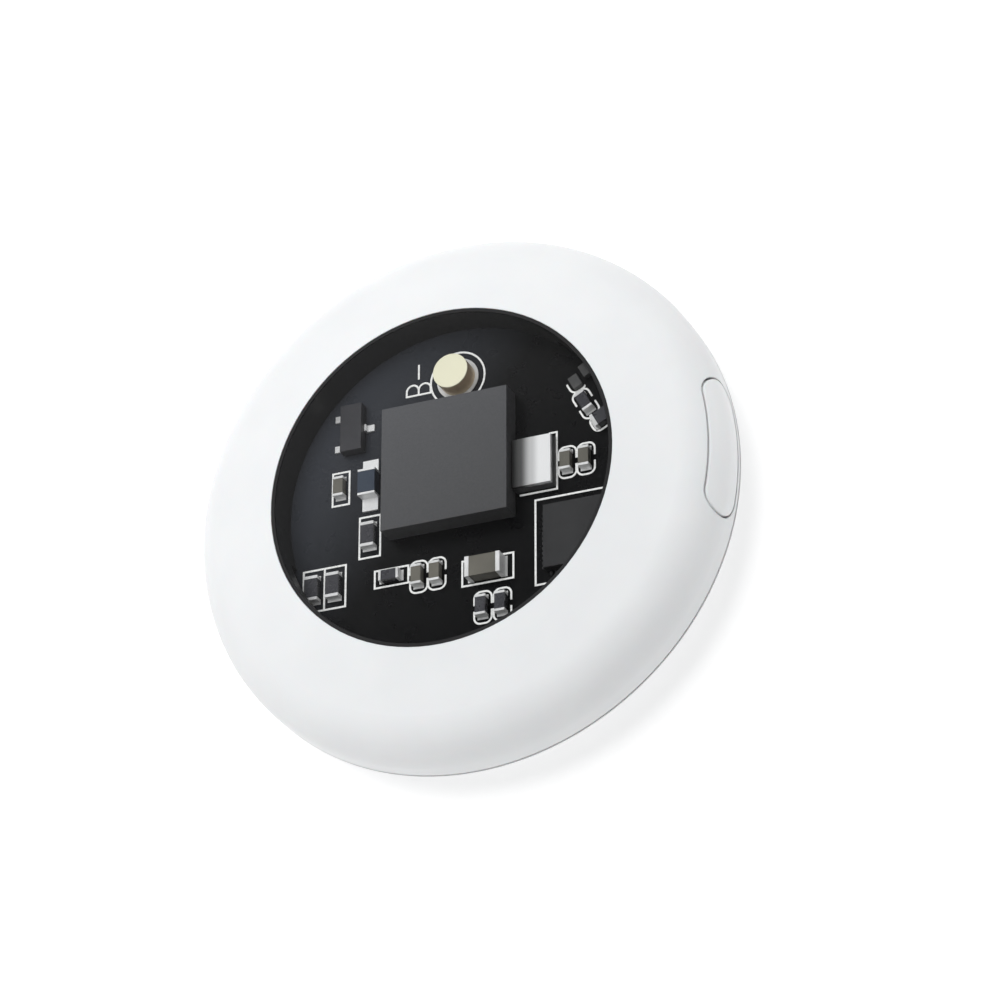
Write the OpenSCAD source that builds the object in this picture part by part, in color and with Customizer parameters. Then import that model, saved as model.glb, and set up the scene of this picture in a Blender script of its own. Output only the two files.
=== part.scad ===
// Round bluetooth tracker tag: white case with a clear window over its circuit board,
// a side button, and a lift-off back cover that carries the coin cell.
// Lies on its back: +Z through the window, +X towards the side button, millimetres.

/* [Case] */
// Outer diameter of the case
case_d = 32; // [31:0.5:40]
// Height from the flat back to the window rim
case_h = 8; // [8:0.1:10]
// Height of the seam between front shell and back cover
seam_z = 3.45; // [3.3:0.05:3.6]
// Thickness of the side wall
wall = 1.25; // [1:0.05:1.5]
// Rounding of the front edge
edge_round = 2.75; // [2:0.05:3]
// Fall of the face line from the window rim to the case edge
face_drop = 1.5; // [1:0.05:1.6]

/* [Window] */
// Diameter of the round window
window_d = 20.6; // [17:0.1:25]
// Thickness of the window lens
lens_t = 0.5; // [0.4:0.05:0.6]

/* [Button] */
// Length of the side button along the wall
button_w = 8.2; // [6:0.1:10]
// Height of the side button
button_h = 2.37; // [1.86:0.01:2.56]
// Travel of the side button when pressed
button_travel = 0.3; // [0.2:0.02:0.36]
// Gap around the side button
button_gap = 0.12; // [0.08:0.01:0.2]

/* [Board] */
// Depth of the board's face below the window rim
board_depth = 2.1; // [2:0.05:2.3]
// Thickness of the circuit board
board_t = 0.8; // [0.6:0.05:1]
// Diameter of the negative contact pin
pin_d = 2.1; // [1.6:0.05:2.6]
// Height of the negative contact pin
pin_h = 1.07; // [0.8:0.01:1.2]
// Side of the square sounder case
sounder_w = 7.6; // [6.3:0.1:8]

/* [Cell] */
// Diameter of the coin cell
cell_d = 20; // [16:0.5:21]
// Thickness of the coin cell
cell_h = 3.2; // [2.5:0.1:3.4]

/* [Hidden] */
// Roundness of true circles
$fn = 96;
// Running fit between pieces that slide
slip = 0.03;
// Gap between pieces that rest on each other
sit = 0.02;
seam_gap = 0.1;
big = 2 * case_d;

// Case radii and heights
case_r = case_d / 2;
window_r = window_d / 2;
in_r = case_r - wall;
face_slope = atan(face_drop / (case_r - window_r));
round_x = case_r - edge_round;
round_z = case_h - (round_x - window_r) * tan(face_slope) - edge_round / cos(face_slope);
round_start_x = round_x + edge_round * sin(face_slope);
round_start_z = round_z + edge_round * cos(face_slope);

// Levels
board_top = case_h - board_depth;
board_low = board_top - board_t;
seat_depth = 0.9;
seat_z = case_h - seat_depth;
roof_gap = 0.25;
roof_z = board_top + roof_gap;
roof_round = 0.75;
roof_r = in_r - roof_round;

// Window lens and bezel
collar_t = 0.2;
bezel_in = window_r - collar_t - sit;
lens_r = bezel_in - slip;
lens_top = case_h - 2 * sit;
flange_w = 1.3;
parts_r = 10.08;
liner_in = max(bezel_in, parts_r);
flange_r = liner_in + collar_t + sit + flange_w;
flange_t = 0.34;
flange_low = seat_z - sit - flange_t;
liner_t = 0.47;
foot_t = 0.6;
liner_arc = [50, 198];
foot_arcs = [[-10, 90], [88, 190], [188, 306]];

// Back cover: flat face, dished side, spigot inside the front shell
rim_z = seam_z - seam_gap;
edge_land = 0.1;
edge_r = case_r;
edge_z = rim_z - edge_land;
edge_angle = 40;
dish_r = edge_z / (1 - sin(edge_angle));
dish_x = edge_r - dish_r * cos(edge_angle);
cover_wall = 1.05;
spigot_t = 0.87;
spigot_h = 1.3;
spigot_r = in_r - slip;
spigot_in = spigot_r - spigot_t;
spigot_top = seam_z + spigot_h;
pry_w = 4.5;
pry_h = 0.45;
pry_depth = 0.7;

// Screw bosses stand just inside the spigot
boss_at = [60, 180, 275];
boss_r = 1;
boss_gap = 0.1;
boss_ring = spigot_in - boss_gap - boss_r;
boss_under = 0.4;
boss_low = board_low - boss_under;
notch_gap = 0.15;
notch_r = boss_r + notch_gap;
screw_r = 0.48;
screw_gap = 0.02;
screw_hole_r = screw_r + screw_gap;
screw_head_r = 0.85;
screw_head_h = 0.45;
screw_end_gap = 0.4;
slot_w = 0.25;
ear_t = 0.8;

// Circuit board
board_edge_gap = 0.52;
board_r = spigot_in - board_edge_gap;

// Coin cell and its place in the back cover
cell_r = cell_d / 2;
floor_z = 0.9;
pad_t = 0.18;
cell_low = floor_z + pad_t + sit;
cell_top = cell_low + cell_h;
can_t = 0.25;
can_bend = 0.5;
can_lip = 0.3;
cap_in = 1.15;
cap_t = 0.25;
cap_gap = 0.02;
cap_r = cell_r - cap_in;
tray_gap = 0.25;
tray_r = cell_r + tray_gap;
tray_t = 0.7;
tray_h = 0.85;
pad_in = 2.5;
pad_r = cell_r - pad_in;

// Cell holder
holder_gap = 0.2;
holder_in = cell_r + holder_gap;
holder_t = 0.9;
holder_r = holder_in + holder_t;
holder_low = floor_z + tray_h + 0.25;
holder_top = board_low - sit;

// Side button: a slot with round ends above the seam, its flange stops on the wall's inside
button_bridge = 0.24;
button_low = seam_z + button_bridge + button_gap;
button_top = button_low + button_h;
flange_side = 0.9;
stop_gap = 0.05;
button_flange_w = button_w + 2 * flange_side;
button_flange_t = 0.53;
button_out_x = sqrt(pow(in_r, 2) - pow(button_flange_w / 2, 2)) - stop_gap;
button_in_x = button_out_x - button_flange_t;
button_flange_low = seam_z + 0.3;
button_flange_over = 0.7;
cover_notch_w = button_flange_w + 1.4;

// Side switch under the board's edge
stem_l = 0.35;
switch_h = 1.53;
switch_w = 4;
switch_d = 1.55;
plunger_tip = button_in_x - stem_l;
plunger_out = 0.55;
plunger_in = 0.3;
plunger_w = 1.5;
plunger_h = 0.8;
plunger_gap = 0.05;
switch_x1 = plunger_tip - plunger_out;
switch_x0 = switch_x1 - switch_d;
switch_top = board_low - sit;
switch_low = switch_top - switch_h;
plunger_z = switch_low + switch_h / 2;
button_flange_top = plunger_z + plunger_h / 2 + button_flange_over;
frame_t = 0.12;
frame_side_h = 0.9;
switch_room = 0.4;
flat_gap = 0.4;
board_flat = button_in_x - button_travel - flat_gap;

// Parts on the board, placed from the sounder's edges where they stand beside it
print_t = 0.03;
line_w = 0.11;
sounder_at = [-0.1, 1.45];
sounder_h = 1.3;
left = sounder_at[0] - sounder_w / 2;
right = sounder_at[0] + sounder_w / 2;
top = sounder_at[1] + sounder_w / 2;
pin_r = pin_d / 2;
pin_at = [0.18, top + 0.7 + pin_r];
pin_pad_w = 0.22;
pin_tail_r = 0.5;
pin_hole_r = pin_tail_r + 0.05;
pin_tail_low = board_low - 0.28;
end_share = 0.12;
end_over = 0.02;
pad_reach = 0.13;
small_size = [0.6, 1.2, 0.45];
medium_size = [0.8, 1.5, 0.45];
large_size = [1.2, 2.1, 0.8];
bead_size = [0.58, 0.8, 0.32];
beside_crystal = right + 3.12;
slant = 28;
slant_x = 7.94;
slant_y = 3.8;
small_caps = [[left - 3.06, 1.45, 0], [-2.1, -4.94, 0], [-1, -4.94, 0],
    [beside_crystal, 0.38, 0], [beside_crystal + 1.1, 0.38, 0]];
small_resistors = [[-3.76, -4.64, 90], [1.77, -7.52, 0], [2.93, -7.52, 0],
    [slant_x, slant_y, slant]];
medium_resistors = [[left - 1.22, -1.9, 0], [-8.52, -4.63, 0], [-7.22, -4.63, 0],
    [slant_x + 1.21, slant_y - 1.07, slant + 90]];
large_caps = [[2.05, -5.28, 90]];
beads = [[slant_x - 0.53, slant_y + 1.37, slant], [slant_x + 0.08, slant_y + 2.01, slant]];
radio_at = [7.48, -4.19];
radio_w = 3.8;
radio_h = 0.6;
radio_pads_n = 12;
radio_pitch = 0.3;
radio_pad = [0.25, 0.15, 0.08];
crystal_size = [2.36, 3];
crystal_at = [right + 0.07 + crystal_size[0] / 2, 0.52];
crystal_h = 0.75;
crystal_base_h = 0.5;
crystal_step = 0.06;
chip_lift = 0.1;
regulator_size = [1.3, 2.9];
regulator_at = [left - 2.22, 4.9];
regulator_h = 0.7;
regulator_leg = [0.55, 0.4, 0.13];
regulator_step = 0.95;
diode_size = [1.05, 1.3];
diode_at = [left - 1.18, 1.26];
diode_h = 0.75;
diode_foot = [0.96, 0.78, 0.15];
diode_end_t = 0.13;
antenna_at = 228;
antenna_size = [1.6, 3.2, 0.9];
antenna_ring = board_r - 0.95;

// Contacts
leaf_t = 0.12;
negative_leaf_w = 1.7;
negative_leaf_l = [1.1, 3.5, 0.8];
positive_at = 130;
positive_w = 3;
positive_gap_w = 3.5;
positive_reach = board_r - 0.9;
contact_gap = 0.04;

// Print on the board: outlines as [x, y, width, height]
square_prints = [[left - 3.06, 1.45, 1.03, 2.05], [left - 1.22, -1.9, 1.27, 2.54],
    [-8.52, -4.63, 1.3, 2.55], [-7.22, -4.63, 1.3, 2.55], [-3.76, -4.64, 2.04, 1.05],
    [2.05, -5.28, 3.05, 1.53], [radio_at[0], radio_at[1], 5.17, 5.17]];
round_prints = [[-2.1, -4.94, 0], [-1, -4.94, 0], [1.77, -7.52, 0], [2.93, -7.52, 0],
    [beside_crystal, 0.38, 0], [beside_crystal + 1.1, 0.38, 0], [slant_x, slant_y, slant],
    [slant_x + 1.21, slant_y - 1.07, slant + 90]];
corner_prints = [[slant_x - 0.75, slant_y + 1.79, slant]];
corner_print_reach = 0.35;
round_print = [1.04, 1.92];
round_print_corner = 0.38;
round_print_gap = 0.34;
pin_ring_r = pin_r + 0.6;
letter_at = [pin_at[0] - 3.2, top + 1.22];
letter_h = 1.55;
letter_bowl = 0.37;
letter_stem = 0.3;
dash_gap = 0.98;
dash_l = 0.95;
crystal_print = [crystal_at[0] + 1.24, -1.13, 2.38];
crystal_print_foot = 2.23;
crystal_print_head = 0.48;

// ---- shared shapes ----

// Ring between two radii and two heights
module ring(r0, r1, z0, z1) {
    translate([0, 0, z0]) difference() {
        cylinder(r = r1, h = z1 - z0);
        translate([0, 0, -1]) cylinder(r = r0, h = z1 - z0 + 2);
    }
}

// Wedge of space between two angles less than half a turn apart
module wedge(arc, z0, z1) {
    mid = (arc[0] + arc[1]) / 2;
    translate([0, 0, z0]) linear_extrude(z1 - z0) polygon([[0, 0],
        [big * cos(arc[0]), big * sin(arc[0])], [big * cos(mid), big * sin(mid)],
        [big * cos(arc[1]), big * sin(arc[1])]]);
}

// Upright block, centred in plan
module block(x, y, z, size) {
    translate([x - size[0] / 2, y - size[1] / 2, z]) cube(size);
}

// Outside of the front shell and the button, from a height up
module front_outside(low) {
    rotate_extrude() union() {
        polygon([[0, low], [case_r, low], [case_r, round_z], [round_x, round_z],
            [round_start_x, round_start_z], [window_r, case_h], [0, case_h]]);
        intersection() {
            translate([round_x, round_z]) circle(r = edge_round);
            square([case_r + 1, case_h]);
            polygon([[round_x, round_z], [round_x + case_r, round_z],
                [round_x + case_r, round_z + case_r],
                [round_x + case_r * tan(face_slope), round_z + case_r]]);
        }
    }
}

// Outline of the side button in the plane of its face, grown by a gap
module button_outline(grow) {
    end_r = button_h / 2;
    head = button_w / 2 - end_r;
    union() {
        translate([-head, button_low - grow]) square([2 * head, button_h + 2 * grow]);
        for (s = [-1, 1])
            translate([s * head, button_low + end_r]) circle(r = end_r + grow);
    }
}

// Posts at the screw places
module at_bosses() {
    for (a = boss_at)
        rotate([0, 0, a]) translate([boss_ring, 0, 0]) children();
}

// Copies placed by a table of [x, y, angle] on the board
module place(spots) {
    for (p = spots)
        translate([p[0], p[1], board_top]) rotate([0, 0, p[2]]) children();
}

// Middle of a chip part, between its two ends
module chip_middle(size) {
    block(0, 0, print_t, [size[0], size[1] * (1 - 2 * end_share), size[2]]);
}

// The two metal ends of a chip part
module chip_ends(size) {
    length = size[1] * end_share;
    for (s = [-1, 1])
        block(0, s * (size[1] - length) / 2, print_t, [size[0] + end_over, length, size[2] + end_over]);
}

// The two solder pads under a chip part, reaching past its ends
module chip_pads(size) {
    length = size[1] * end_share + pad_reach;
    for (s = [-1, 1])
        block(0, s * ((size[1] - length) / 2 + pad_reach), 0, [size[0] + 2 * end_over, length, print_t]);
}

// ---- case ----

module front_shell() {
    color("white") difference() {
        union() {
            difference() {
                front_outside(seam_z);
                rotate_extrude() polygon([[0, case_h + 1], [window_r, case_h + 1],
                    [window_r, seat_z], [flange_r + slip, seat_z], [flange_r + slip, roof_z],
                    [roof_r, roof_z], [in_r, roof_z - roof_round], [in_r, seam_z - 1],
                    [0, seam_z - 1]]);
            }
            at_bosses() translate([0, 0, boss_low]) cylinder(r = boss_r, h = seat_z - boss_low);
        }
        at_bosses() translate([0, 0, boss_low - 1]) cylinder(r = screw_hole_r, h = roof_z - boss_low + 1);
        translate([board_flat, 0, 0]) rotate([90, 0, 90])
            linear_extrude(case_r) button_outline(button_gap);
    }
}

module window_lens() {
    color("aliceblue", 0.3) translate([0, 0, lens_top - lens_t]) cylinder(r = lens_r, h = lens_t);
}

module window_bezel() {
    color("black") difference() {
        union() {
            ring(bezel_in, window_r - sit, flange_low, case_h - sit);
            ring(bezel_in, flange_r, flange_low, seat_z - sit);
            intersection() {
                ring(liner_in, liner_in + liner_t, board_top + sit, seat_z - sit);
                wedge(liner_arc, board_top, seat_z);
            }
            for (arc = foot_arcs)
                intersection() {
                    ring(flange_r - foot_t, flange_r, board_top + sit, seat_z - sit);
                    wedge(arc, board_top, seat_z);
                }
        }
        at_bosses() cylinder(r = notch_r, h = case_h);
    }
}

// Half section of the back cover, without its notches
module cover_profile() {
    tray_out = tray_r + tray_t;
    tray_run = max(tray_out - dish_x, 0);
    inner_low = dish_r - sqrt(pow(dish_r, 2) - pow(tray_run, 2)) + cover_wall;
    inner_high = dish_r - sqrt(pow(dish_r, 2) - pow(spigot_in - dish_x, 2)) + cover_wall;
    difference() {
        union() {
            polygon([[0, 0], [dish_x, 0], [edge_r, edge_z], [edge_r, rim_z], [spigot_r, rim_z],
                [spigot_r, spigot_top], [0, spigot_top]]);
            intersection() {
                translate([dish_x, dish_r]) circle(r = dish_r);
                polygon([[dish_x, 0], [dish_x, -1], [case_r + 1, -1], [case_r + 1, edge_z],
                    [edge_r, edge_z]]);
            }
        }
        polygon([[-1, floor_z], [tray_r, floor_z], [tray_r, floor_z + tray_h],
            [tray_out, floor_z + tray_h], [tray_out, inner_low], [spigot_in, inner_high],
            [spigot_in, spigot_top + 1], [-1, spigot_top + 1]]);
    }
}

module back_cover() {
    color("white") difference() {
        rotate_extrude() cover_profile();
        translate([holder_r, -cover_notch_w / 2, rim_z]) cube([case_d, cover_notch_w, spigot_top]);
        translate([-case_d - case_r + pry_depth, -pry_w / 2, rim_z - pry_h])
            cube([case_d, pry_w, spigot_top]);
    }
}

// ---- side button and switch ----

module button_cap() {
    color("whitesmoke") union() {
        intersection() {
            front_outside(seam_z);
            translate([button_out_x - sit, 0, 0]) rotate([90, 0, 90])
                linear_extrude(case_r) button_outline(0);
        }
        translate([button_in_x, -button_flange_w / 2, button_flange_low])
            cube([button_flange_t, button_flange_w, button_flange_top - button_flange_low]);
        translate([plunger_tip + sit, -plunger_w / 2, plunger_z - plunger_h / 2])
            cube([stem_l, plunger_w, plunger_h]);
    }
}

module switch_body() {
    room = plunger_in + button_travel + plunger_gap;
    color("dimgray") difference() {
        translate([switch_x0, -switch_w / 2, switch_low]) cube([switch_d, switch_w, switch_h]);
        translate([switch_x1 - room, -plunger_w / 2 - plunger_gap, plunger_z - plunger_h / 2 - plunger_gap])
            cube([room + 1, plunger_w + 2 * plunger_gap, plunger_h + 2 * plunger_gap]);
    }
}

module switch_frame() {
    wide = switch_w + 2 * frame_t;
    color("silver") translate([switch_x0, 0, switch_low - frame_t]) union() {
        translate([0, -wide / 2, 0]) cube([switch_d, wide, frame_t]);
        translate([0, -wide / 2, 0]) cube([switch_d, frame_t, frame_side_h]);
        translate([0, switch_w / 2, 0]) cube([switch_d, frame_t, frame_side_h]);
    }
}

module switch_plunger() {
    color("white") translate([switch_x1 - plunger_in, -plunger_w / 2, plunger_z - plunger_h / 2])
        cube([plunger_in + plunger_out, plunger_w, plunger_h]);
}

// ---- circuit board ----

module circuit_board() {
    color("black") translate([0, 0, board_low]) difference() {
        cylinder(r = board_r, h = board_t);
        translate([board_flat, -case_r, -1]) cube([case_r, case_d, board_t + 2]);
        translate([pin_at[0], pin_at[1], -1]) cylinder(r = pin_hole_r, h = board_t + 2);
        at_bosses() translate([0, 0, -1]) union() {
            cylinder(r = notch_r, h = board_t + 2);
            translate([0, -notch_r, 0]) cube([case_r, 2 * notch_r, board_t + 2]);
        }
    }
}

module board_pads() {
    color("silver") union() {
        place(small_caps) chip_pads(small_size);
        place(small_resistors) chip_pads(small_size);
        place(medium_resistors) chip_pads(medium_size);
        place(large_caps) chip_pads(large_size);
        translate([pin_at[0], pin_at[1], 0])
            ring(pin_hole_r, pin_r + pin_pad_w, board_top, board_top + print_t);
    }
}

// Rectangle drawn with a line of even width
module square_line(p) {
    translate([p[0], p[1]]) difference() {
        square([p[2] + line_w, p[3] + line_w], center = true);
        square([p[2] - line_w, p[3] - line_w], center = true);
    }
}

module round_patch(w, h, r) {
    union() {
        square([w - 2 * r, h], center = true);
        square([w, h - 2 * r], center = true);
        for (sx = [-1, 1])
            for (sy = [-1, 1])
                translate([sx * (w / 2 - r), sy * (h / 2 - r)]) circle(r = r);
    }
}

// Rounded outline, open at the middle of both long sides
module round_line() {
    w = round_print[0];
    h = round_print[1];
    difference() {
        round_patch(w + line_w, h + line_w, round_print_corner + line_w / 2);
        round_patch(w - line_w, h - line_w, round_print_corner - line_w / 2);
        square([w * 2, round_print_gap], center = true);
    }
}

// Lower left part of the rounded outline
module corner_line() {
    intersection() {
        round_line();
        translate([-round_print[0], -round_print[1]])
            square([round_print[0] + corner_print_reach, round_print[1]]);
    }
}

// One bowl of the polarity letter, standing on its spine
module bowl() {
    r = letter_bowl;
    difference() {
        union() {
            translate([0, letter_stem]) circle(r = r + line_w / 2);
            translate([-r - line_w / 2, 0]) square([2 * r + line_w, letter_stem]);
        }
        translate([0, letter_stem]) circle(r = r - line_w / 2);
        translate([-r + line_w / 2, 0]) square([2 * r - line_w, letter_stem]);
        translate([-2 * r, -2 * r]) square([4 * r, 2 * r]);
    }
}

module polarity_mark() {
    translate(letter_at) union() {
        translate([0, -line_w / 2]) square([4 * letter_bowl + line_w, line_w]);
        translate([letter_bowl + line_w / 2, 0]) bowl();
        translate([3 * letter_bowl + line_w / 2, 0]) bowl();
        translate([2 * letter_bowl, dash_gap]) square([line_w, dash_l]);
    }
}

module board_print() {
    color("white") translate([0, 0, board_top]) linear_extrude(print_t) union() {
        for (p = square_prints) square_line(p);
        for (p = round_prints) translate([p[0], p[1]]) rotate(p[2]) round_line();
        for (p = corner_prints) translate([p[0], p[1]]) rotate(p[2]) corner_line();
        difference() {
            translate(pin_at) circle(r = pin_ring_r + line_w / 2);
            translate(pin_at) circle(r = pin_ring_r - line_w / 2);
            translate([-case_r, top - case_d]) square([case_d, case_d]);
        }
        polarity_mark();
        translate([crystal_print[0] - line_w / 2, crystal_print[1]])
            square([line_w, crystal_print[2] - crystal_print[1]]);
        translate([crystal_print[0] - crystal_print_foot, crystal_print[1] - line_w / 2])
            square([crystal_print_foot + line_w / 2, line_w]);
        translate([crystal_print[0] - crystal_print_head, crystal_print[2] - line_w / 2])
            square([crystal_print_head + line_w / 2, line_w]);
    }
}

module negative_pin() {
    color("gold") translate([pin_at[0], pin_at[1], 0]) union() {
        translate([0, 0, board_top + print_t]) cylinder(r = pin_r, h = pin_h);
        translate([0, 0, pin_tail_low]) cylinder(r = pin_tail_r, h = board_top + pin_h - pin_tail_low);
    }
}

module negative_spring() {
    y1 = pin_at[1] + negative_leaf_l[0];
    y2 = pin_at[1] - negative_leaf_l[0];
    y3 = y2 - negative_leaf_l[1];
    y4 = y3 - negative_leaf_l[2];
    high = pin_tail_low - sit;
    low = cell_top + contact_gap;
    color("silver") translate([pin_at[0] + negative_leaf_w / 2, 0, 0]) rotate([0, -90, 0])
        linear_extrude(negative_leaf_w)
            polygon([[high, y1], [high, y2], [low + leaf_t, y3], [low + 2 * leaf_t, y4],
                [low + leaf_t, y4], [low, y3], [high - leaf_t, y2], [high - leaf_t, y1]]);
}

module positive_spring() {
    inner = cell_r + contact_gap;
    rotate([0, 0, positive_at]) color("silver") translate([inner, -positive_w / 2, 0]) union() {
        translate([0, 0, holder_low]) cube([leaf_t, positive_w, holder_top - holder_low]);
        translate([0, 0, holder_top - leaf_t]) cube([positive_reach - inner, positive_w, leaf_t]);
    }
}

module cell_holder() {
    ear_low = boss_low - sit - ear_t;
    arm = boss_ring - holder_in - holder_t / 2;
    color("darkslategray") difference() {
        union() {
            ring(holder_in, holder_r, holder_low, holder_top);
            at_bosses() translate([0, 0, ear_low]) difference() {
                union() {
                    cylinder(r = boss_r, h = ear_t);
                    translate([-arm, -boss_r, 0]) cube([arm, 2 * boss_r, ear_t]);
                }
                translate([0, 0, -1]) cylinder(r = screw_hole_r, h = ear_t + 2);
            }
        }
        at_bosses() translate([0, 0, ear_low + ear_t]) cylinder(r = boss_r + boss_gap, h = case_h);
        translate([cell_r - 1, -switch_w / 2 - switch_room, switch_low - switch_room])
            cube([case_r, switch_w + 2 * switch_room, case_h]);
        rotate([0, 0, positive_at]) translate([cell_r - 1, -positive_gap_w / 2, holder_low - 1])
            cube([holder_r, positive_gap_w, case_h]);
    }
}

module case_screws() {
    head_top = boss_low - ear_t - 2 * sit;
    color("silver") at_bosses() translate([0, 0, head_top]) difference() {
        union() {
            translate([0, 0, -screw_head_h]) cylinder(r = screw_head_r, h = screw_head_h);
            translate([0, 0, -sit]) cylinder(r = screw_r, h = roof_z - screw_end_gap - head_top);
        }
        for (turn = [0, 90])
            rotate([0, 0, turn])
                block(0, 0, -1.5 * screw_head_h, [1.2 * screw_head_r, slot_w, screw_head_h]);
    }
}

// ---- parts on the board ----

module sounder_case() {
    color("dimgray") block(sounder_at[0], sounder_at[1], board_top, [sounder_w, sounder_w, sounder_h]);
}

module radio_chip() {
    color("dimgray") block(radio_at[0], radio_at[1], board_top + print_t, [radio_w, radio_w, radio_h]);
}

module radio_chip_pads() {
    out = (radio_w + radio_pad[0]) / 2 + sit;
    color("silver") translate([radio_at[0], radio_at[1], 0])
        for (side = [0, 90, 180, 270])
            rotate([0, 0, side])
                for (i = [0:radio_pads_n - 1])
                    block(out, (i - (radio_pads_n - 1) / 2) * radio_pitch, board_top, radio_pad);
}

module crystal_base() {
    color("dimgray") block(crystal_at[0], crystal_at[1], board_top,
        [crystal_size[0], crystal_size[1], crystal_base_h]);
}

module crystal_lid() {
    color("silver") block(crystal_at[0], crystal_at[1], board_top + crystal_base_h,
        [crystal_size[0] - crystal_step, crystal_size[1] - crystal_step, crystal_h - crystal_base_h]);
}

module regulator_body() {
    color("dimgray") block(regulator_at[0], regulator_at[1], board_top + chip_lift,
        [regulator_size[0], regulator_size[1], regulator_h - chip_lift]);
}

module regulator_leads() {
    reach = regulator_size[0] / 2 + sit;
    thick = regulator_leg[2];
    color("silver") translate([regulator_at[0], regulator_at[1], board_top])
        for (p = [[180, -regulator_step], [180, regulator_step], [0, 0]])
            rotate([0, 0, p[0]]) union() {
                block(reach + regulator_leg[0] / 2, p[1], 0, regulator_leg);
                block(reach + thick / 2, p[1], 0, [thick, regulator_leg[1], regulator_h / 2]);
            }
}

module diode_body() {
    color("slategray") block(diode_at[0], diode_at[1], board_top + chip_lift,
        [diode_size[0], diode_size[1], diode_h - chip_lift]);
}

module diode_leads() {
    reach = diode_size[1] / 2 + sit;
    color("silver") translate([diode_at[0], diode_at[1], board_top])
        for (turn = [0, 180])
            rotate([0, 0, turn]) union() {
                block(0, reach + diode_end_t / 2, 0, [diode_size[0], diode_end_t, diode_h]);
                block(0, reach + (diode_end_t + diode_foot[1]) / 2, 0,
                    [diode_foot[0], diode_end_t + diode_foot[1], diode_foot[2]]);
            }
}

module capacitor_bodies() {
    color("tan") union() {
        place(small_caps) chip_middle(small_size);
        place(large_caps) chip_middle(large_size);
    }
}

module capacitor_ends() {
    color("silver") union() {
        place(small_caps) chip_ends(small_size);
        place(large_caps) chip_ends(large_size);
    }
}

module resistor_bodies() {
    color("dimgray") union() {
        place(small_resistors) chip_middle(small_size);
        place(medium_resistors) chip_middle(medium_size);
    }
}

module resistor_ends() {
    color("silver") union() {
        place(small_resistors) chip_ends(small_size);
        place(medium_resistors) chip_ends(medium_size);
    }
}

module ferrite_beads() {
    color("gray") place(beads) block(0, 0, 0, bead_size);
}

module chip_antenna() {
    color("white") rotate([0, 0, antenna_at])
        block(antenna_ring, 0, board_low - sit - antenna_size[2], antenna_size);
}

// ---- coin cell ----

module cell_pad() {
    color("gray") translate([0, 0, floor_z]) cylinder(r = pad_r, h = pad_t);
}

module cell_can() {
    lip = cell_top - can_lip;
    color("silver") rotate_extrude() difference() {
        polygon([[0, cell_low], [cell_r - can_bend / 2, cell_low], [cell_r, cell_low + can_bend / 2],
            [cell_r, lip - can_bend / 2], [cell_r - can_bend / 2, lip], [0, lip]]);
        polygon([[-1, cell_low + can_t], [cell_r - can_t, cell_low + can_t],
            [cell_r - can_t, lip - can_t], [cell_r - can_bend, lip - can_t],
            [cell_r - can_bend, lip + 1], [-1, lip + 1]]);
    }
}

module cell_gasket() {
    color("dimgray") ring(cap_r + cap_gap, cell_r - can_bend - cap_gap,
        cell_low + can_t + cap_gap, cell_top - can_lip);
}

module cell_core() {
    low = cell_low + can_t + cap_gap;
    color("dimgray") translate([0, 0, low])
        cylinder(r = cap_r - cap_t - cap_gap, h = cell_top - cap_t - cap_gap - low);
}

module cell_cap() {
    low = cell_low + can_t + cap_gap;
    color("lightgray") difference() {
        translate([0, 0, low]) cylinder(r = cap_r, h = cell_top - low);
        translate([0, 0, low - 1]) cylinder(r = cap_r - cap_t, h = cell_top - cap_t - low + 1);
    }
}

front_shell();
window_lens();
window_bezel();
button_cap();
switch_body();
switch_frame();
switch_plunger();
circuit_board();
board_pads();
board_print();
negative_pin();
negative_spring();
positive_spring();
cell_holder();
case_screws();
sounder_case();
radio_chip();
radio_chip_pads();
crystal_base();
crystal_lid();
regulator_body();
regulator_leads();
diode_body();
diode_leads();
capacitor_bodies();
capacitor_ends();
resistor_bodies();
resistor_ends();
ferrite_beads();
chip_antenna();
back_cover();
cell_pad();
cell_can();
cell_gasket();
cell_core();
cell_cap();
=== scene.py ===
"""Looks for the round bluetooth tracker tag: materials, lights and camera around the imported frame."""
import bpy
from mathutils import Matrix, Vector


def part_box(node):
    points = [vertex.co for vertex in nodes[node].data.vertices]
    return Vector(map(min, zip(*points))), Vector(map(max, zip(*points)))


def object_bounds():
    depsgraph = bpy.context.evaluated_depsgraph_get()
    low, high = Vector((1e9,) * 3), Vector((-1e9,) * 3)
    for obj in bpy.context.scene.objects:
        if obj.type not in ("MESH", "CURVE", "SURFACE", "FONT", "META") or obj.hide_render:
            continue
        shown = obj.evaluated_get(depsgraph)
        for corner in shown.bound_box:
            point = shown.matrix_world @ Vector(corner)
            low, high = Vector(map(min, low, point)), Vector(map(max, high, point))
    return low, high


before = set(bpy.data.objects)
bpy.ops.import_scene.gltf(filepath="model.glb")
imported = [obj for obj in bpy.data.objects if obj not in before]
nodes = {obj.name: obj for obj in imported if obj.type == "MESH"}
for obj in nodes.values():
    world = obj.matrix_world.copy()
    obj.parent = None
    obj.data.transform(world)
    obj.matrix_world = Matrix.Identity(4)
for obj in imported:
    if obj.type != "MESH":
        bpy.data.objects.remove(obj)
cad_low, cad_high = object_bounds()


# ---------------------------------------------------------------- material helpers
def fill_ramp(ramp, stops, interpolation):
    ramp.interpolation = interpolation
    while len(ramp.elements) < len(stops):
        ramp.elements.new(0.5)
    for element, (place, colour) in zip(ramp.elements, stops):
        element.position = place
        element.color = (*colour, 1)


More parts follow.
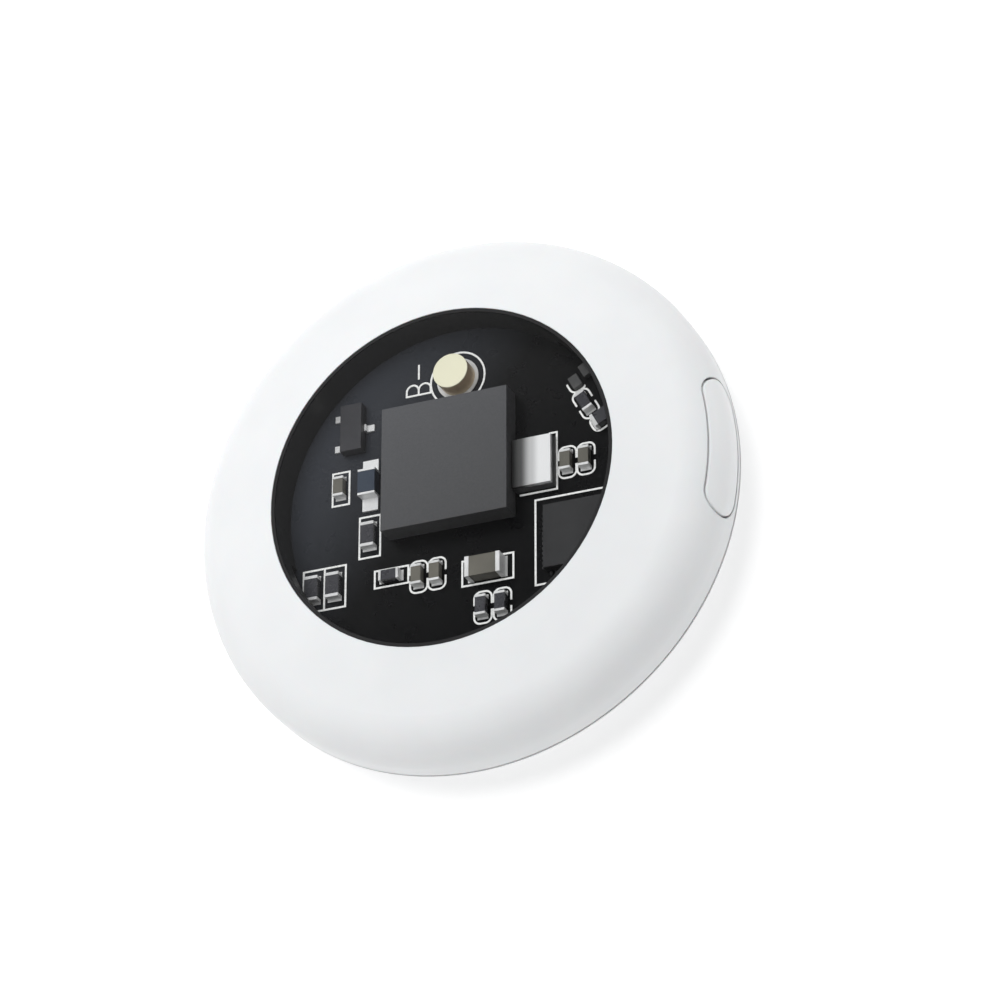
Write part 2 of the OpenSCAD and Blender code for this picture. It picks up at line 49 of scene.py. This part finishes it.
class Look:
    """A node material whose textures are laid out in metres of the row frame."""

    def __init__(self, name):
        self.m = bpy.data.materials.new(name)
        self.m.use_nodes = True
        self.t = self.m.node_tree
        self.p = self.t.nodes["Principled BSDF"]
        self.out = self.t.nodes["Material Output"]
        self.co = self.add("ShaderNodeTexCoord").outputs["Object"]

    def add(self, kind, **settings):
        n = self.t.nodes.new(kind)
        for k, v in settings.items():
            setattr(n, k, v)
        return n

    def link(self, a, b):
        self.t.links.new(a, b)

    def stretched(self, scale=(1, 1, 1), centre=(0, 0, 0), turn=0.0):
        n = self.add("ShaderNodeMapping", vector_type="POINT")
        n.inputs["Scale"].default_value = scale
        n.inputs["Rotation"].default_value = (0, 0, turn)
        move = self.add("ShaderNodeVectorMath", operation="SUBTRACT")
        move.inputs[1].default_value = centre
        self.link(self.co, move.inputs[0])
        self.link(move.outputs[0], n.inputs["Vector"])
        return n.outputs["Vector"]

    def noise(self, scale, detail=2.0, rough=0.5, vector=None):
        n = self.add("ShaderNodeTexNoise")
        n.inputs["Scale"].default_value = scale
        n.inputs["Detail"].default_value = detail
        n.inputs["Roughness"].default_value = rough
        self.link(vector or self.co, n.inputs["Vector"])
        return n.outputs["Fac"]

    def rings(self, scale, centre, warp=0.0):
        n = self.add("ShaderNodeTexWave", wave_type="RINGS", rings_direction="Z")
        n.inputs["Scale"].default_value = scale
        n.inputs["Distortion"].default_value = warp
        self.link(self.stretched(centre=centre), n.inputs["Vector"])
        return n.outputs["Fac"]

    def remap(self, value, lo, hi, a=0.0, b=1.0):
        n = self.add("ShaderNodeMapRange")
        n.inputs["From Min"].default_value = a
        n.inputs["From Max"].default_value = b
        n.inputs["To Min"].default_value = lo
        n.inputs["To Max"].default_value = hi
        self.link(value, n.inputs["Value"])
        return n.outputs["Result"]

    def blend(self, value, dark, light, a=0.35, b=0.65):
        n = self.add("ShaderNodeValToRGB")
        e = n.color_ramp.elements
        e[0].position, e[1].position = a, b
        e[0].color = (*dark, 1)
        e[1].color = (*light, 1)
        self.link(value, n.inputs["Fac"])
        return n.outputs["Color"]

    def ramp(self, value, stops, interpolation="LINEAR"):
        """A colour ramp through (place, linear colour) stops."""
        n = self.add("ShaderNodeValToRGB")
        fill_ramp(n.color_ramp, stops, interpolation)
        self.link(value, n.inputs["Fac"])
        return n.outputs["Color"]

    def colour(self, socket):
        self.link(socket, self.p.inputs["Base Color"])

    def rough(self, socket):
        self.link(socket, self.p.inputs["Roughness"])

    def bumps(self, *layers, edge=0.0):
        """Adds relief: each layer is (height socket, depth in metres). edge rounds corners by that radius."""
        last = None
        if edge:
            b = self.add("ShaderNodeBevel", samples=4)
            b.inputs["Radius"].default_value = edge
            last = b.outputs["Normal"]
        for height, depth in layers:
            n = self.add("ShaderNodeBump")
            n.inputs["Strength"].default_value = 1.0
            n.inputs["Distance"].default_value = depth
            self.link(height, n.inputs["Height"])
            if last:
                self.link(last, n.inputs["Normal"])
            last = n.outputs["Normal"]
        self.link(last, self.p.inputs["Normal"])

    def set(self, **values):
        for k, v in values.items():
            self.p.inputs[k.replace("_", " ")].default_value = v


def shade(*v):
    """Grey or colour value given as sRGB 0 to 255, as linear."""
    c = [((x / 255 + 0.055) / 1.055) ** 2.4 if x > 10 else x / 255 / 12.92 for x in v]
    return tuple(c) if len(c) == 3 else tuple(c * 3)


def moulded(name, dark, light, rough=(0.3, 0.4), grain=7000, depth=2e-6, edge=4e-5, **more):
    """Injection-moulded plastic or epoxy: faint mottling, fine spark-eroded grain, softened corners."""
    k = Look(name)
    k.colour(k.blend(k.noise(260, 3), dark, light))
    k.rough(k.remap(k.noise(1500, 3), *rough, 0.3, 0.7))
    k.bumps((k.noise(grain, 2), depth), (k.noise(grain / 9, 2), depth * 1.5), edge=edge)
    k.set(**more)
    return k.m


def metal(name, dark, light, rough=(0.2, 0.35), grain=(2600, 2600, 2600), depth=2e-6, edge=3e-5, shine=1.0, **more):
    """Plated or tinned metal: uneven tone and a fine directional grain."""
    k = Look(name)
    k.set(Metallic=shine, **more)
    k.colour(k.blend(k.noise(900, 3), dark, light))
    k.rough(k.remap(k.noise(2200, 3), *rough, 0.3, 0.7))
    k.bumps((k.noise(1.0, 2, vector=k.stretched(grain)), depth), edge=edge)
    return k.m


def turned(name, node, dark, light, rough, pitch=9000, depth=1.2e-6, edge=4e-5):
    """Lathe-turned metal: fine concentric tool marks round the node's own axis."""
    low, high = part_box(node)
    k = Look(name)
    k.set(Metallic=1.0)
    k.colour(k.blend(k.noise(700, 3), dark, light))
    k.rough(k.remap(k.noise(2500, 3), *rough, 0.3, 0.7))
    k.bumps((k.rings(pitch, (low + high) / 2, 1.5), depth), (k.noise(3000, 2), depth), edge=edge)
    return k.m


# ---------------------------------------------------------------- the materials
white = dict(Specular_IOR_Level=0.45, Subsurface_Weight=0.06, Subsurface_Scale=0.001)
looks = {}
looks["front_shell"] = looks["back_cover"] = moulded(
    "case_white", (0.745, 0.757, 0.768), (0.765, 0.777, 0.786), (0.34, 0.42), 8000, 1.2e-6, 9e-5, **white)
looks["button_cap"] = moulded(
    "button_white", (0.78, 0.792, 0.803), (0.80, 0.812, 0.82), (0.3, 0.37), 8000, 1.0e-6, 9e-5, **white)
looks["window_bezel"] = moulded("bezel_black", shade(30, 30, 31), shade(36, 36, 37), (0.36, 0.46), 6000, 1.5e-6)
looks["cell_holder"] = moulded("holder_black", shade(38, 38, 40), shade(46, 46, 48), (0.42, 0.55), 5000, 3e-6)
# Lighter and cooler to the far left: a painted stand-in for a soft light, fixed to the part.
block = Look("sounder_grey")
painted_light_axis = block.add("ShaderNodeVectorMath", operation="DOT_PRODUCT")
painted_light_axis.inputs[1].default_value = (-0.5, 0.866, 0.0)
block.link(block.co, painted_light_axis.inputs[0])
painted_light_fac = block.remap(painted_light_axis.outputs["Value"], 0.0, 1.0, -0.005, 0.006)
# This mix is half the painted light gradient and half fine random grain.
grain = block.add("ShaderNodeMixRGB")
grain.inputs[0].default_value = 0.5
block.link(block.blend(painted_light_fac, shade(62, 62, 63), shade(84, 85, 89), 0.0, 1.0), grain.inputs[1])
block.link(block.blend(block.noise(9000, 3), shade(76, 76, 77), shade(84, 84, 85)), grain.inputs[2])
block.colour(grain.outputs[0])
block.rough(block.remap(block.noise(5000, 3), 0.5, 0.62, 0.3, 0.7))
block.bumps((block.noise(9000, 3), 2.2e-6), edge=3e-5)
looks["sounder_case"] = block.m
looks["radio_chip"] = moulded("radio_black", shade(46, 46, 47), shade(52, 52, 53), (0.45, 0.55), 11000, 2e-6, 3e-5)
looks["regulator_body"] = moulded(
    "regulator_black", shade(56, 56, 59), shade(64, 64, 67), (0.4, 0.5), 11000, 2e-6, 3e-5)
looks["diode_body"] = moulded("diode_grey", shade(52, 60, 72), shade(62, 70, 82), (0.4, 0.5), 11000, 2e-6, 3e-5)
looks["crystal_base"] = moulded("crystal_ceramic", shade(60, 60, 62), shade(74, 74, 76), (0.55, 0.7), 9000, 2e-6, 2e-5)
looks["capacitor_bodies"] = moulded(
    "capacitor_tan", shade(96, 94, 87), shade(110, 107, 99), (0.42, 0.6), 9000, 3e-6, 3e-5)
looks["resistor_bodies"] = moulded(
    "resistor_black", shade(56, 56, 60), shade(68, 68, 72), (0.22, 0.34), 9000, 1.5e-6, 2e-5)
looks["chip_antenna"] = moulded("antenna_white", shade(214, 214, 208), shade(226, 226, 221), (0.4, 0.55), 9000, 2e-6)
looks["switch_body"] = moulded("switch_black", shade(34, 34, 36), shade(42, 42, 44), (0.45, 0.55), 8000, 2e-6, 3e-5)
looks["switch_plunger"] = moulded("plunger_white", shade(214, 212, 204), shade(226, 224, 216), (0.4, 0.5), 8000)
looks["cell_gasket"] = moulded("gasket_grey", shade(70, 72, 76), shade(84, 86, 90), (0.4, 0.5), 7000)
looks["cell_core"] = moulded("core_dark", shade(34, 34, 35), shade(48, 48, 49), (0.7, 0.85), 5000, 5e-6)
looks["cell_pad"] = moulded("pad_grey", shade(70, 70, 72), shade(88, 88, 90), (0.75, 0.9), 3500, 1e-5)
looks["ferrite_beads"] = moulded("bead_grey", shade(76, 76, 76), shade(116, 116, 115), (0.5, 0.65), 7000, 5e-6, 5e-5)

looks["board_pads"] = metal("solder_tin", shade(214, 214, 213), shade(240, 240, 239), (0.3, 0.42), depth=2e-6, shine=0.35)
looks["radio_chip_pads"] = metal("pin_tin", shade(66, 66, 67), shade(92, 92, 93), (0.34, 0.46), depth=2e-6, shine=0.6)
looks["capacitor_ends"] = metal("end_tin", shade(232, 232, 231), shade(250, 250, 250), (0.32, 0.44), depth=2e-6, shine=0.35)
looks["resistor_ends"] = metal("end_tin_dull", shade(226, 226, 225), shade(246, 246, 246), (0.34, 0.46), depth=2e-6, shine=0.35)
looks["regulator_leads"] = metal("lead_tin", shade(226, 226, 225), shade(244, 244, 244), (0.3, 0.4), depth=1e-6, shine=0.35)
looks["diode_leads"] = metal("tab_tin", shade(236, 236, 236), shade(252, 252, 252), (0.3, 0.4), depth=1e-6, shine=0.3)
# Dark to bright across the lid: a painted stand-in for the studio reflection, fixed to the part.
lid_low, lid_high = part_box("crystal_lid")
lid = Look("lid_bright")
across = lid.add("ShaderNodeSeparateXYZ")
lid.link(lid.co, across.inputs[0])
run = lid.remap(across.outputs["X"], 0.0, 1.0, lid_low.x, lid_high.x)
lid.colour(lid.ramp(run, ((0.0, (0.02,) * 3), (0.22, (0.09,) * 3), (0.5, (0.62,) * 3), (0.72, (0.95,) * 3)), "EASE"))
lid.rough(lid.remap(lid.noise(1.0, 2, vector=lid.stretched((900, 12000, 900))), 0.28, 0.36, 0.3, 0.7))
lid.bumps((lid.noise(1.0, 2, vector=lid.stretched((900, 12000, 900))), 2e-7), edge=3e-5)
lid.set(Metallic=0.3)
looks["crystal_lid"] = lid.m
looks["switch_frame"] = metal("frame_plated", shade(196, 196, 194), shade(214, 214, 212), (0.24, 0.34), (900, 9000, 900))
looks["negative_spring"] = metal(
    "leaf_plated", shade(206, 202, 190), shade(224, 220, 208), (0.2, 0.3), (9000, 900, 900))
looks["positive_spring"] = metal(
    "contact_plated", shade(206, 202, 190), shade(224, 220, 208), (0.2, 0.3), (9000, 900, 900))
looks["case_screws"] = metal("screw_zinc", shade(170, 172, 176), shade(196, 198, 202), (0.24, 0.36), depth=3e-6)
# Cream end and browner side: a painted stand-in for the pin's shading, fixed to the part.
pin_low, pin_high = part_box("negative_pin")
pin = Look("pin_gold")
up_pin = pin.add("ShaderNodeSeparateXYZ")
pin.link(pin.co, up_pin.inputs[0])
rise = pin.remap(up_pin.outputs["Z"], 0.0, 1.0, pin_high.z - 0.00125, pin_high.z)
pin.colour(pin.ramp(rise, ((0.0, (0.80, 0.66, 0.46)), (0.5, (0.62, 0.46, 0.29)),
                           (0.93, (0.56, 0.42, 0.27)), (0.985, (1.0, 0.97, 0.74)))))
pin.rough(pin.remap(pin.noise(2500, 3), 0.3, 0.4, 0.3, 0.7))
pin.bumps((pin.rings(9000, (pin_low + pin_high) / 2, 1.5), 5e-7), (pin.noise(3000, 2), 5e-7), edge=4e-5)
pin.set(Metallic=0.35)
looks["negative_pin"] = pin.m
looks["cell_cap"] = turned("cell_cap_steel", "cell_cap", shade(206, 206, 204), shade(211, 211, 209), (0.27, 0.31), 3500)
looks["cell_can"] = turned("cell_can_steel", "cell_can", shade(204, 204, 202), shade(216, 216, 214), (0.2, 0.3), 3500)

# Printed ink: a slightly ragged, speckled white.
ink = Look("print_white")
ink.colour(ink.blend(ink.noise(9000, 3), shade(222, 222, 219), shade(245, 245, 243), 0.3, 0.55))
ink.rough(ink.remap(ink.noise(5000, 2), 0.5, 0.7, 0.3, 0.7))
ink.bumps((ink.noise(14000, 2), 4e-6))
looks["board_print"] = ink.m

# Solder mask: near black and glossy, with the faint relief of copper traces and a fine orange peel.
mask = Look("board_mask")
lanes = mask.add("ShaderNodeTexBrick", offset=0.5, squash=1.0)
lanes.inputs["Scale"].default_value = 1.0
lanes.inputs["Brick Width"].default_value = 0.0031
lanes.inputs["Row Height"].default_value = 0.00062
lanes.inputs["Mortar Size"].default_value = 0.00007
lanes.inputs["Mortar Smooth"].default_value = 0.6
mask.link(mask.stretched(turn=0.7854), lanes.inputs["Vector"])
patch = mask.remap(mask.noise(230, 0.0), 0.0, 1.0, 0.5, 0.56)
trace = mask.add("ShaderNodeMath", operation="MULTIPLY")
mask.link(lanes.outputs["Fac"], trace.inputs[0])
mask.link(patch, trace.inputs[1])
# Bluish and lighter to the far left: a painted stand-in for a soft reflection, fixed to the part.
over = mask.add("ShaderNodeVectorMath", operation="DOT_PRODUCT")
over.inputs[1].default_value = (-0.8, 0.6, 0.0)
mask.link(mask.co, over.inputs[0])
sheen = mask.remap(over.outputs["Value"], 0.0, 1.0, 0.0012, 0.0095)
# This mix is part painted reflection, part copper trace colour.
traces_and_painted_sheen = mask.add("ShaderNodeMixRGB")
traces_and_painted_sheen.inputs[0].default_value = 0.3
mask.link(mask.blend(sheen, shade(11, 11, 12), shade(68, 71, 78), 0.0, 1.0), traces_and_painted_sheen.inputs[1])
mask.link(mask.blend(trace.outputs[0], shade(12, 12.5, 14), shade(20, 20.5, 23), 0.0, 1.0), traces_and_painted_sheen.inputs[2])
mask.colour(traces_and_painted_sheen.outputs[0])
mask.rough(mask.remap(mask.noise(800, 3), 0.26, 0.32, 0.3, 0.7))
mask.bumps((trace.outputs[0], 9e-7), (mask.noise(1500, 2), 6e-8))
mask.set(Specular_IOR_Level=0.25)
looks["circuit_board"] = mask.m

# Clear window: light passes straight through, with a weak coated reflection on the outer face.
clear = Look("clear_window")
clear.t.nodes.remove(clear.p)
through = clear.add("ShaderNodeBsdfTransparent")
through.inputs["Color"].default_value = (0.985, 0.988, 0.99, 1)
gloss = clear.add("ShaderNodeBsdfGlossy")
clear.link(clear.remap(clear.noise(120, 3), 0.02, 0.06, 0.35, 0.7), gloss.inputs["Roughness"])
fresnel = clear.add("ShaderNodeFresnel")
fresnel.inputs["IOR"].default_value = 1.46
side = clear.add("ShaderNodeNewGeometry")
front = clear.add("ShaderNodeMath", operation="SUBTRACT")
front.inputs[0].default_value = 1.0
clear.link(side.outputs["Backfacing"], front.inputs[1])
amount = clear.add("ShaderNodeMath", operation="MULTIPLY")
clear.link(fresnel.outputs[0], amount.inputs[0])
clear.link(front.outputs[0], amount.inputs[1])
both = clear.add("ShaderNodeMixShader")
clear.link(amount.outputs[0], both.inputs[0])
clear.link(through.outputs[0], both.inputs[1])
clear.link(gloss.outputs[0], both.inputs[2])
clear.link(both.outputs[0], clear.out.inputs["Surface"])
looks["window_lens"] = clear.m

for name, obj in nodes.items():
    obj.data.materials.clear()
    obj.data.materials.append(looks[name])

# ---------------------------------------------------------------- floor
floor_mesh = bpy.data.meshes.new("floor")
half = 1.5
floor_mesh.from_pydata([(-half, -half, 0), (half, -half, 0), (half, half, 0), (-half, half, 0)], [], [(0, 1, 2, 3)])
floor = bpy.data.objects.new("floor", floor_mesh)
bpy.context.scene.collection.objects.link(floor)
floor.location.z = cad_low.z - 0.00002
pale = Look("floor_pale")
pale.colour(pale.blend(pale.noise(30, 2), (0.62, 0.62, 0.62), (0.65, 0.65, 0.65)))
pale.set(Roughness=0.9, Specular_IOR_Level=0.0)
pale.p.inputs["Emission Color"].default_value = (1, 1, 1, 1)
pale.p.inputs["Emission Strength"].default_value = 0.5
floor_mesh.materials.append(pale.m)

# ---------------------------------------------------------------- light
world = bpy.data.worlds.new("studio")
bpy.context.scene.world = world
world.use_nodes = True
sky = world.node_tree
back_node = sky.nodes["Background"]
direction = sky.nodes.new("ShaderNodeTexCoord").outputs["Generated"]


def sky_ramp(value, a, b, lo, hi):
    n = sky.nodes.new("ShaderNodeMapRange")
    n.interpolation_type = "SMOOTHSTEP"
    for key, x in (("From Min", a), ("From Max", b), ("To Min", lo), ("To Max", hi)):
        n.inputs[key].default_value = x
    sky.links.new(value, n.inputs["Value"])
    return n.outputs["Result"]


# Bright walls all round, dimmer on the near right, under a dark ceiling, so the window stays clear.
far_side = sky.nodes.new("ShaderNodeVectorMath")
far_side.operation = "DOT_PRODUCT"
far_side.inputs[1].default_value = (-0.63, 0.775, 0.0)
sky.links.new(direction, far_side.inputs[0])
height = sky.nodes.new("ShaderNodeSeparateXYZ")
sky.links.new(direction, height.inputs[0])
walls = sky.nodes.new("ShaderNodeValToRGB")
fill_ramp(walls.color_ramp, ((0.0, (1.0,) * 3), (0.72, (1.0,) * 3), (0.79, (0.72,) * 3), (0.832, (0.05,) * 3)), "EASE")
sky.links.new(height.outputs["Z"], walls.inputs["Fac"])
sides = sky_ramp(far_side.outputs["Value"], -0.7, 0.5, 0.42, 0.7)
glow = sky.nodes.new("ShaderNodeMath")
glow.operation = "MULTIPLY"
sky.links.new(walls.outputs["Color"], glow.inputs[0])
sky.links.new(sides, glow.inputs[1])
back_node.inputs["Color"].default_value = (1.0, 1.0, 1.0, 1)
sky.links.new(glow.outputs[0], back_node.inputs["Strength"])


def area(name, place, target, size, power):
    data = bpy.data.lights.new(name, "AREA")
    data.shape = "DISK"
    data.size = size
    data.energy = power
    obj = bpy.data.objects.new(name, data)
    bpy.context.scene.collection.objects.link(obj)
    obj.location = place
    obj.rotation_mode = "QUATERNION"
    obj.rotation_quaternion = (Vector(place) - Vector(target)).to_track_quat("Z", "Y")
    return obj


key = area("key_light", (-0.04, 0.05, 0.39), (0, 0, 0), 0.36, 1.5)
key.visible_glossy = False

# ---------------------------------------------------------------- camera
cam_data = bpy.data.cameras.new("camera")
cam_data.lens = 151.2
cam_data.sensor_width = 36.0
cam = bpy.data.objects.new("camera", cam_data)
bpy.context.scene.collection.objects.link(cam)
right = Vector((0.91877, 0.00072, -0.39479))
up = Vector((0.17682, 0.89334, 0.41313))
back = Vector((0.35298, -0.44937, 0.82065))
place = Vector((0.084620, -0.105350, 0.196203))
cam.matrix_world = Matrix((
    (right.x, up.x, back.x, place.x),
    (right.y, up.y, back.y, place.y),
    (right.z, up.z, back.z, place.z),
    (0, 0, 0, 1)))
cam_data.clip_start = 0.01
cam_data.clip_end = 10
bpy.context.scene.camera = cam
bpy.context.scene.view_settings.view_transform = "Standard"
bpy.context.scene.view_settings.look = "None"
